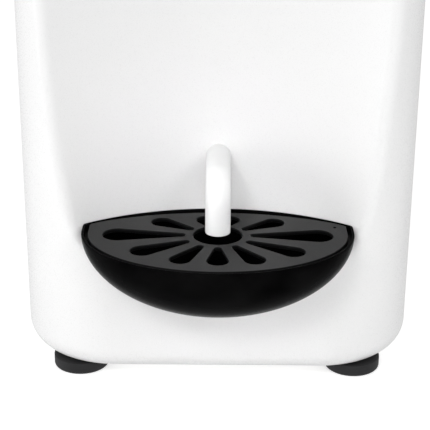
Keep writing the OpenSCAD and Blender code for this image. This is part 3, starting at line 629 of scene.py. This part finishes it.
WHITE = surface(
    "white_moulding", (0.82, 0.82, 0.82), vary=0.006, rough=(0.26, 0.32), grain=1400, bump=0.005, cloud=9)
WHITE_TUBE = surface(
    "white_tube", (0.9, 0.9, 0.9), vary=0.006, rough=(0.36, 0.44), grain=1600, bump=0.01, cloud=20,
    specular=0.25)
TRAY_BLACK = surface(
    "tray_black", (0.001, 0.001, 0.0011), vary=0.15, rough=(0.2, 0.26), grain=1500, bump=0.02, cloud=30,
    specular=0.006, wear=0.5)
GRATE_GREY = surface(
    "grate_charcoal", (0.0045, 0.0045, 0.0048), vary=0.08, rough=(0.3, 0.38), grain=1800, bump=0.04,
    cloud=35, specular=0.14)
RUBBER = surface(
    "foot_rubber_black", (0.012, 0.012, 0.013), vary=0.12, rough=(0.5, 0.65), grain=2200, bump=0.15,
    cloud=60, specular=0.3)
PANEL_BLACK = surface(
    "panel_gloss", (0.008, 0.008, 0.01), vary=0.1, rough=(0.08, 0.12), grain=900, bump=0.004, coat=0.6)
KEY = surface(
    "key_plastic", (0.72, 0.74, 0.76), vary=0.02, rough=(0.3, 0.38), grain=1500, bump=0.03, wear=0.3)

# the material of every slot in the record
LOOKS = {
    "white_casing": WHITE,
    "white_spout": WHITE_TUBE,
    "black_tray": TRAY_BLACK,
    "dark_grate": GRATE_GREY,
    "foot_rubber": RUBBER,
    "black_panel": PANEL_BLACK,
    "button_plastic": KEY,
    "grey_plastic": surface(
        "grey_moulding", (0.62, 0.62, 0.6), rough=(0.42, 0.55), grain=1200, bump=0.08, wear=0.3),
    "lens": surface(
        "lens_ice", (0.45, 0.7, 0.85), vary=0.04, rough=(0.08, 0.14), grain=600, bump=0.01, coat=0.5),
    "black_plastic": surface(
        "black_moulding", (0.02, 0.02, 0.022), vary=0.1, rough=(0.4, 0.52), grain=1300, bump=0.1,
        wear=0.25),
    "steel": surface(
        "steel_satin", (0.58, 0.58, 0.6), vary=0.05, rough=(0.24, 0.36), grain=700, bump=0.04,
        metallic=1.0),
    "aluminium": surface(
        "aluminium_satin", (0.66, 0.67, 0.68), vary=0.05, rough=(0.32, 0.44), grain=900, bump=0.06,
        metallic=1.0),
    "board": surface(
        "board_green", (0.02, 0.13, 0.05), vary=0.15, rough=(0.3, 0.45), grain=500, bump=0.1, cloud=80),
    "bearing_plastic": surface(
        "bearing_cream", (0.74, 0.7, 0.58), rough=(0.36, 0.46), grain=1200, bump=0.05),
    "clear_plastic": surface(
        "milky_plastic", (0.74, 0.77, 0.79), vary=0.04, rough=(0.2, 0.3), grain=900, bump=0.03),
    "coil": surface(
        "coil_blue", (0.03, 0.06, 0.16), vary=0.12, rough=(0.4, 0.5), grain=1100, bump=0.12),
    "foam": surface(
        "foam_black", (0.03, 0.03, 0.03), vary=0.25, rough=(0.85, 0.95), grain=420, bump=0.6, cloud=90),
    "ceramic": surface(
        "ceramic_white", (0.8, 0.8, 0.78), rough=(0.5, 0.6), grain=1500, bump=0.05),
    "brass": surface(
        "brass_band", (0.62, 0.42, 0.16), vary=0.08, rough=(0.28, 0.4), grain=700, bump=0.06,
        metallic=1.0),
    "filter_shell": surface(
        "filter_blue_white", (0.76, 0.82, 0.88), vary=0.03, rough=(0.22, 0.3), grain=900, bump=0.03,
        wear=0.2),
    "green_rocker": surface(
        "rocker_green", (0.02, 0.24, 0.07), vary=0.06, rough=(0.26, 0.34), grain=1100, bump=0.03,
        wear=0.2),
    "red_rocker": surface(
        "rocker_red", (0.42, 0.02, 0.02), vary=0.06, rough=(0.26, 0.34), grain=1100, bump=0.03,
        wear=0.2),
    "seal_rubber": surface(
        "seal_black", (0.02, 0.02, 0.02), vary=0.1, rough=(0.55, 0.7), grain=1500, bump=0.12),
}

for part in frame["record"]["subparts"]:
    node = frame["nodes"].get(part["node"])
    if node is not None:
        for holder in node.material_slots:
            holder.material = LOOKS[part["material_slot"]]


# ---------- casing and cover ----------

# the knuckles of the cover's two hinges, each with a leaf that joins it to the cover
HINGE_INSET = 18.0
KNUCKLE_R = 5.0
KNUCKLE_BORE_R = 2.56
KNUCKLE_HALF = 9.0
KNUCKLE_CHAMFER = 0.4
LEAF_HALF = 8.6
LEAF_CHAMFER = 0.8
LEAF_START = 2.0
LEAF_END = 2.6
LEAF_BOTTOM = 0.4


def hinge_knuckles():
    """Both knuckles with their leaves, as one mesh."""
    pin_y, pin_z = (pin_lo[1] + pin_hi[1]) / 2, (pin_lo[2] + pin_hi[2]) / 2
    soft_r, soft_x = KNUCKLE_R - KNUCKLE_CHAMFER, KNUCKLE_HALF - KNUCKLE_CHAMFER
    profile = [
        (KNUCKLE_BORE_R, -KNUCKLE_HALF), (soft_r, -KNUCKLE_HALF), (KNUCKLE_R, -soft_x),
        (KNUCKLE_R, soft_x), (soft_r, KNUCKLE_HALF), (KNUCKLE_BORE_R, KNUCKLE_HALF),
    ]
    front, back = REAR_Y - LEAF_START, pin_y - LEAF_END
    bottom, top = pin_z + LEAF_BOTTOM, pin_z + KNUCKLE_R
    section = [
        (front, bottom), (back, bottom), (back, top - LEAF_CHAMFER), (back - LEAF_CHAMFER, top),
        (front, top),
    ]
    vertices, faces = [], []
    for side in (-1, 1):
        hinge_x = side * (pin_hi[0] - HINGE_INSET)
        turned, turned_faces = lathe(profile, (hinge_x, pin_y, pin_z), "x", 48)
        ends = [[(hinge_x + x, y, z) for y, z in section] for x in (-LEAF_HALF, LEAF_HALF)]
        leaf, leaf_faces = rings_to_mesh(ends)
        for new_vertices, new_faces in ((turned, turned_faces), (leaf, leaf_faces)):
            faces += [tuple(i + len(vertices) for i in face) for face in new_faces]
            vertices += new_vertices
    return vertices, faces


casing = shell_object("casing_shell", casing_field, BASE_Z, PART_Z)
finish_piece(casing, "casing", "white_casing", WHITE, "front_casing")
cover = shell_object("cover_shell", cover_field, PART_Z, TOP_Z)
knuckles = mesh_object("cover_hinge_knuckles", *hinge_knuckles())
finish_piece(cover, "cover", "white_casing", WHITE, "top_cover")
finish_piece(knuckles, "cover", "white_casing", WHITE)


# ---------- drip tray ----------

TRAY_WALL = 2.0
TRAY_FLOOR = 5.0
TIP_SHARE = 0.3
BOWL_POWER = 1.92
LIP_DEPTH = 0.7
LIP_EDGE = ((0.0, 0.6), (0.06, 0.3), (0.2, 0.1), (0.45, 0.0))
SHELF_GAP = 0.1
SHELF_IN = 7.0
SHELF_CHAMFER = 0.4
SHELF_THICK = 2.5
BOWL_TOP_DEPTH = 10.0


def tray_outline(inset, scale):
    """Plan outline of the bowl at one height: half ellipse in front, straight sides, recess arc behind."""
    a = (TRAY_HALF - inset) * scale
    b = (TRAY_REACH - inset) * scale
    back_r = RECESS_R - TRAY_CLEAR - inset
    front = [(a * math.cos(t), FACE_Y - b * math.sin(t)) for t in np.linspace(0, math.pi, 97)]
    corner = min(TRAY_CORNER, a * TIP_SHARE)
    cx, cr = a - corner, back_r - corner
    cy = RECESS_Y + math.sqrt(cr ** 2 - cx ** 2)
    turn = math.degrees(math.atan2(cy - RECESS_Y, cx))
    side = [(-a, y) for y in np.linspace(FACE_Y, cy, 7)[1:-1]]
    left = arc(-cx, cy, corner, 180, 180 - turn, 8)
    back = arc(0, RECESS_Y, back_r, 180 - turn, turn, 64)[1:-1]
    right = arc(cx, cy, corner, turn, 0, 8)
    other = [(a, y) for y in np.linspace(cy, FACE_Y, 7)[1:-1]]
    return front + side + left + back + right + other


def bowl_scale(depth, inset):
    """How much narrower the bowl is at a depth below its rim."""
    return math.sqrt(max(1 - (depth / (TRAY_DEPTH - inset)) ** BOWL_POWER, 0.0))


def tray_ring(inset, scale, depth):
    """The outline at a depth below the rim."""
    return [(x, y, RIM_Z - depth) for x, y in tray_outline(inset, scale)]


def tray_rings():
    """The bowl from its lowest point up the outside, over the lip and the grate's shelf, and down inside."""
    shelf = RIM_Z - (grate_lo[2] - SHELF_GAP)
    under = shelf + SHELF_THICK
    shelf_in = SHELF_IN + SHELF_CHAMFER
    outside = [TRAY_DEPTH * math.sin(math.radians(angle)) for angle in np.linspace(89.2, 0, 34)]
    rings = [tray_ring(0, bowl_scale(depth, 0), depth) for depth in outside if depth > LIP_DEPTH]
    lip = LIP_EDGE + tuple((TRAY_WALL - inset, drop) for inset, drop in reversed(LIP_EDGE))
    ledge = ((TRAY_WALL, shelf), (SHELF_IN, shelf), (shelf_in, shelf + SHELF_CHAMFER), (shelf_in, under))
    rings += [tray_ring(inset, 1.0, depth) for inset, depth in lip + ledge]
    inside = [under, *np.linspace(BOWL_TOP_DEPTH, TRAY_DEPTH - TRAY_WALL - TRAY_FLOOR, 14)]
    rings += [tray_ring(TRAY_WALL, bowl_scale(depth, TRAY_WALL), depth) for depth in inside]
    return rings


tray = mesh_object("drip_tray_bowl", *rings_to_mesh(tray_rings()), smooth=40)
finish_piece(tray, "tray", "black_tray", TRAY_BLACK, "drip_tray")


# ---------- drip grate, in millimetres from the hub ----------

HUB_HOLE_R = 17.8
GRATE_MID = 5.0
GRATE_BACK = 44.5
GRATE_BACK_R = 200.0
GRATE_CLEAR = 3.4
GRATE_CORNER = 1.6
GRATE_EDGE = 0.45
WEDGE_RIM = 3.2
WEDGE_START = 62.0
WEDGE_X = 8.6
WEDGE_Y = 29.6
WEDGE_R = 7.6
WEDGE_CORNER = 1.2
DIMPLE = (85.6, 16.4, 1.2)

# teardrop slots: direction in degrees, then distance and radius of the near end and of the far end
LEVEL_SLOT = (0, 26.2, 3, 72.2, 11)
SIDE_SLOTS = ((-29.2, 26, 2.8, 60.6, 8.7), (-59.7, 25.2, 2.9, 51, 7.7), (31, 23.5, 3, 48, 8))
FRONT_SLOT = (-90, 25.5, 2.9, 46.4, 7.7)


def rounded(points, radius, steps=5):
    """The closed outline with each sharp corner rounded."""
    out = []
    n = len(points)
    for i in range(n):
        p0, p1, p2 = (np.array(points[j % n]) for j in (i - 1, i, i + 1))
        a, b = p0 - p1, p2 - p1
        la, lb = np.linalg.norm(a), np.linalg.norm(b)
        turn = math.acos(np.clip(a @ b / (la * lb), -1, 1))
        if turn > math.radians(160):
            out.append(tuple(p1))
            continue
        cut = min(radius, 0.45 * la, 0.45 * lb)
        q0, q1 = p1 + a / la * cut, p1 + b / lb * cut
        for k in range(steps + 1):
            t = k / steps
            out.append(tuple((1 - t) ** 2 * q0 + 2 * t * (1 - t) * p1 + t * t * q1))
    return out


def teardrop(angle, near_d, near_r, far_d, far_r):
    """A slot with a small round end near the hub and a large one away from it."""
    lean = math.degrees(math.asin((far_r - near_r) / (far_d - near_d)))
    far = arc(far_d, 0, far_r, -90 - lean, 90 + lean, 28)
    near = arc(near_d, 0, near_r, 90 + lean, 270 - lean, 12)
    c, s = math.cos(math.radians(angle)), math.sin(math.radians(angle))
    return [(x * c - y * s, x * s + y * c) for x, y in far + near]


def mirrored(points):
    """The outline on the other side of the hub."""
    return [(-x, y) for x, y in points]


def grate_back(x):
    """How far back the plate reaches at x: its own arc, kept off the recess wall."""
    own = GRATE_BACK - GRATE_BACK_R + math.sqrt(GRATE_BACK_R ** 2 - x ** 2)
    wall = RECESS_Y - HUB_Y + math.sqrt((RECESS_R - GRATE_CLEAR) ** 2 - x ** 2)
    return min(own, wall)


def grate_outline():
    """Half ellipse in front, short straight sides, and the arc behind."""
    a, b = grate_hi[0], HUB_Y + GRATE_MID - grate_lo[1]
    front = [(a * math.cos(t), GRATE_MID - b * math.sin(t)) for t in np.linspace(0, math.pi, 91)]
    side = [(-a, y) for y in np.linspace(GRATE_MID, grate_back(a), 4)[1:]]
    back = [(x, grate_back(x)) for x in np.linspace(-a, a, 61)[1:-1]]
    other = [(a, y) for y in np.linspace(grate_back(a), GRATE_MID, 4)[:-1]]
    return rounded(front + side + back + other, GRATE_CORNER)


def grate_wedge():
    """The slot behind the hub: an arc about the hub and two round shoulders."""
    inner = arc(0, 0, HUB_HOLE_R + WEDGE_RIM, WEDGE_START, 180 - WEDGE_START, 16)
    left = arc(-WEDGE_X, WEDGE_Y, WEDGE_R, 205, 90, 14)
    right = arc(WEDGE_X, WEDGE_Y, WEDGE_R, 90, -25, 14)
    return rounded(inner + left + right, WEDGE_CORNER)


level = teardrop(*LEVEL_SLOT)
sides = [teardrop(*slot) for slot in SIDE_SLOTS]
slots = [circle(0, 0, HUB_HOLE_R, 144), level, teardrop(180, *LEVEL_SLOT[1:])]
slots += sides + [mirrored(slot) for slot in sides]
slots += [teardrop(*FRONT_SLOT), grate_wedge(), circle(*DIMPLE, 24)]
thick = grate_hi[2] - grate_lo[2]
place = Matrix.Translation((0, HUB_Y * MM, (GRATE_Z - thick / 2) * MM))
grate = plate_object("drip_grate_plate", [grate_outline()] + slots, thick, GRATE_EDGE, place)
finish_piece(grate, "grate", "dark_grate", GRATE_GREY, "drip_grate")


# ---------- spout ----------

BEND_R = 16.0
BORE_R = 6.5
AXIS_Z = spout_hi[2] - SPOUT_R
MOUTH_Z = spout_lo[2]

# height above the mouth and radius, from the bore round the lip to the outside
MOUTH_LIP = (
    (0.5, BORE_R), (0.12, BORE_R + 0.2), (0.0, BORE_R + 0.6),
    (0.0, SPOUT_R - 0.9), (0.1, SPOUT_R - 0.45), (0.4, SPOUT_R - 0.12), (1.0, SPOUT_R),
)


def spout_path():
    """The tube's centre line above its mouth, each point with the tube's slope in degrees."""
    path = [((0, HUB_Y, z), 90.0) for z in np.linspace(MOUTH_Z, AXIS_Z - BEND_R, 6)[1:]]
    for angle in np.linspace(0, 90, 25)[1:]:
        a = math.radians(angle)
        y = HUB_Y + BEND_R - BEND_R * math.cos(a)
        path.append(((0, y, AXIS_Z - BEND_R + BEND_R * math.sin(a)), 90 - angle))
    path += [((0, y, AXIS_Z), 0.0) for y in np.linspace(HUB_Y + BEND_R, spout_hi[1], 9)[1:]]
    return path


def tube_ring(centre, slope, r, steps=64):
    """A ring of the tube, square to its centre line."""
    centre, across = np.array(centre), np.array([1.0, 0, 0])
    up = np.array([0, -math.sin(math.radians(slope)), math.cos(math.radians(slope))])
    turns = np.linspace(0, 2 * math.pi, steps, endpoint=False)
    return [tuple(centre + r * math.cos(t) * across + r * math.sin(t) * up) for t in turns]


rings = [tube_ring(centre, slope, SPOUT_R) for centre, slope in spout_path()]
rings += [tube_ring(centre, slope, BORE_R) for centre, slope in reversed(spout_path())]
rings += [tube_ring((0, HUB_Y, MOUTH_Z + height), 90, r) for height, r in MOUTH_LIP]
spout = mesh_object("spout_tube", *rings_to_mesh(rings, closed=True), smooth=50)
finish_piece(spout, "spout_body", "white_spout", WHITE_TUBE, "spout")


# ---------- feet ----------

FOOT_BORE_R = 2.3
FOOT_SINK_R = 4.6
FOOT_SINK_DEPTH = 6.0
FOOT_HEEL_R = 2.5
FOOT_EDGE = 0.5
FOOT_EDGE_MID = 0.15
FOOT_GROOVES = (9.0, 13.0)
GROOVE_HALF = 0.7
GROOVE_SLOPE = 0.2
GROOVE_DEPTH = 0.7


def foot_profile(r, h):
    """Half section of a foot: screw hole, grooved sole, round heel and softened top edge."""
    profile = [(FOOT_BORE_R, h), (FOOT_BORE_R, FOOT_SINK_DEPTH), (FOOT_SINK_R, FOOT_SINK_DEPTH)]
    profile += [(FOOT_SINK_R, FOOT_EDGE), (FOOT_SINK_R + FOOT_EDGE, 0)]
    for groove in FOOT_GROOVES:
        bottom = GROOVE_HALF - GROOVE_SLOPE
        profile += [(groove - GROOVE_HALF, 0), (groove - bottom, GROOVE_DEPTH)]
        profile += [(groove + bottom, GROOVE_DEPTH), (groove + GROOVE_HALF, 0)]
    for t in np.linspace(0, math.pi / 2, 9):
        profile.append((r - FOOT_HEEL_R + FOOT_HEEL_R * math.sin(t), FOOT_HEEL_R - FOOT_HEEL_R * math.cos(t)))
    return profile + [(r, h - FOOT_EDGE), (r - FOOT_EDGE_MID, h - FOOT_EDGE_MID), (r - FOOT_EDGE, h)]


for name in FEET:
    low, high = span(name)
    profile = foot_profile((high[0] - low[0]) / 2, high[2] - low[2])
    centre = ((low[0] + high[0]) / 2, (low[1] + high[1]) / 2, low[2])
    foot = mesh_object(name + "_pad", *lathe(profile, centre), smooth=40)
    finish_piece(foot, "casing", "foot_rubber", RUBBER, name)


# ---------- control panel and buttons ----------

PANEL_LAP = 1.2
PANEL_THICK = 2.2
PANEL_EDGE = 0.5
PANEL_PROUD = 0.3
KEY_HOLE_R = 9.3
LAMP_X = 14.0
LAMP_R = 1.6
KEY_R = 9.0
KEY_RIM = 1.3
KEY_COLLAR = 7.6
KEY_FLANGE_R = 11.0
KEY_BACK = 9.1
KEY_STEM_R = 2.5

# radius and depth of the cap's dished front and its rounded edge
KEY_DISH = ((0.01, 0.45), (4.0, 0.35), (6.5, 0.2), (7.4, 0.08), (8.2, 0.1), (8.7, 0.35), (8.95, 0.8))

key_spans = [span(name) for name in BUTTONS]
keys = [(low[0] + high[0]) / 2 for low, high in key_spans]
end_r = (panel_hi[2] - panel_lo[2]) / 2 + PANEL_LAP
end_x = panel_hi[0] + PANEL_LAP - end_r
stadium = arc(end_x, 0, end_r, -90, 90, 32) + arc(-end_x, 0, end_r, 90, 270, 32)
holes = [circle(x, 0, KEY_HOLE_R, 72) for x in keys] + [circle(x + LAMP_X, 0, LAMP_R, 24) for x in keys]
panel_at = Matrix.Translation((0, (FACE_Y + PANEL_PROUD) * MM, (panel_lo[2] + panel_hi[2]) / 2 * MM))
upright = Matrix.Rotation(math.radians(90), 4, "X")
panel = plate_object("control_panel_glass", [stadium] + holes, PANEL_THICK, PANEL_EDGE, panel_at @ upright)
finish_piece(panel, "casing", "black_panel", PANEL_BLACK, "control_panel")

for (name, body), (low, high) in zip(BUTTONS.items(), key_spans):
    stem = high[1] - low[1]
    profile = list(KEY_DISH)
    profile += [(KEY_R, KEY_RIM), (KEY_R, KEY_COLLAR), (KEY_FLANGE_R, KEY_COLLAR), (KEY_FLANGE_R, KEY_BACK)]
    profile += [(KEY_STEM_R, KEY_BACK), (KEY_STEM_R, stem), (KEY_DISH[0][0], stem)]
    centre = (low + high) / 2
    button = mesh_object(name + "_cap", *lathe(profile, (centre[0], low[1], centre[2]), "y"), smooth=40)
    finish_piece(button, body, "button_plastic", KEY, name)


# ---------- stage: a pale floor that lights and mirrors nothing ----------

FLOOR_HALF = 4.0

floor_mesh = bpy.data.meshes.new("floor")
corners = [(x * FLOOR_HALF, y * FLOOR_HALF, 0) for x, y in ((-1, -1), (1, -1), (1, 1), (-1, 1))]
floor_mesh.from_pydata(corners, [], [(0, 1, 2, 3)])
floor = link("floor", floor_mesh)
material, tree, shader = new_material("floor_pale")
shader.inputs["Base Color"].default_value = (0.7, 0.7, 0.7, 1)
shader.inputs["Roughness"].default_value = 0.8
shader.inputs["Specular IOR Level"].default_value = 0.1
shader.inputs["Emission Color"].default_value = (1, 1, 1, 1)
shader.inputs["Emission Strength"].default_value = 0.62
floor_mesh.materials.append(material)
floor.visible_diffuse = False
floor.visible_glossy = False


# ---------- world: even light, a little stronger in front, beside and from low down ----------

SIDE_GLOW = 0.12
FRONT_GLOW = 0.6
BACK_GLOW = 0.45
LOW_GLOW = 1.5


def maths(tree, operation, *values):
    """One maths node on linked values."""
    node = tree.nodes.new("ShaderNodeMath")
    node.operation = operation
    for socket, value in zip(node.inputs, values):
        tree.links.new(value, socket)
    return node.outputs[0]


world = bpy.data.worlds.new("studio")
bpy.context.scene.world = world
world.use_nodes = True
tree = world.node_tree
sky = tree.nodes.new("ShaderNodeTexCoord")
split = tree.nodes.new("ShaderNodeSeparateXYZ")
tree.links.new(sky.outputs["Generated"], split.inputs[0])
beside = remap(tree, maths(tree, "ABSOLUTE", split.outputs["X"]), 0.0, SIDE_GLOW, 0.65, 0.95)
front = remap(tree, split.outputs["Y"], FRONT_GLOW, BACK_GLOW, -1.0, 1.0)
low_down = remap(tree, split.outputs["Z"], LOW_GLOW, 1.0, -0.25, 0.2)
glow = maths(tree, "MULTIPLY", maths(tree, "ADD", beside, front), low_down)
tree.links.new(glow, tree.nodes["Background"].inputs["Strength"])
tree.nodes["Background"].inputs["Color"].default_value = (1, 1, 1, 1)


# ---------- lights, all aimed at the grate's hub ----------

AIM = Vector((0, HUB_Y * MM, GRATE_Z * MM))


def light(name, azimuth, elevation, distance, size, power, spread=180.0):
    """A round area light; angles in degrees, distance and size in metres, power in watts."""
    data = bpy.data.lights.new(name, "AREA")
    data.shape = "DISK"
    data.size = size
    data.energy = power
    data.spread = math.radians(spread)
    a, e = math.radians(azimuth), math.radians(elevation)
    away = Vector((math.sin(a) * math.cos(e), -math.cos(a) * math.cos(e), math.sin(e)))
    lamp = link(name, data)
    lamp.location = AIM + away * distance
    lamp.rotation_euler = away.to_track_quat("Z", "Y").to_euler()
    return lamp


light("key", azimuth=-23, elevation=38, distance=2.2, size=0.55, power=13.0)
light("fill", azimuth=37, elevation=31, distance=2.2, size=0.6, power=5.5)
light("front", azimuth=0, elevation=8, distance=2.6, size=1.6, power=3.0)
light("left_panel", azimuth=-76, elevation=10, distance=2.2, size=1.0, power=12.0)
light("right_panel", azimuth=80, elevation=10, distance=2.2, size=0.8, power=2.5)

# a narrow beam on the foot of the recess, which the gloss doesn't mirror
low_front = light("low_front", azimuth=0, elevation=4, distance=1.5, size=0.16, power=0.03, spread=13.0)
low_front.visible_glossy = False


# ---------- camera ----------

LENS = 104.6
SENSOR = 36.0
YAW, PITCH, ROLL = math.radians(0.11), math.radians(21.51), math.radians(0.42)
CAMERA_SIDE = -0.51
CAMERA_BACK = 832.39
CAMERA_RISE = 343.59

camera_data = bpy.data.cameras.new("camera")
camera_data.sensor_width = SENSOR
camera_data.lens = LENS
camera = link("camera", camera_data)
forward = Vector((-math.sin(YAW) * math.cos(PITCH), math.cos(YAW) * math.cos(PITCH), -math.sin(PITCH)))
right = Vector((math.cos(YAW), math.sin(YAW), 0))
up = right.cross(forward)
across = math.cos(ROLL) * right + math.sin(ROLL) * up
above = -math.sin(ROLL) * right + math.cos(ROLL) * up
matrix = Matrix((across, above, -forward)).transposed().to_4x4()
matrix.translation = Vector((CAMERA_SIDE, HUB_Y - CAMERA_BACK, GRATE_Z + CAMERA_RISE)) * MM
camera.matrix_world = matrix
bpy.context.scene.camera = camera
bpy.context.scene.view_settings.view_transform = "Standard"
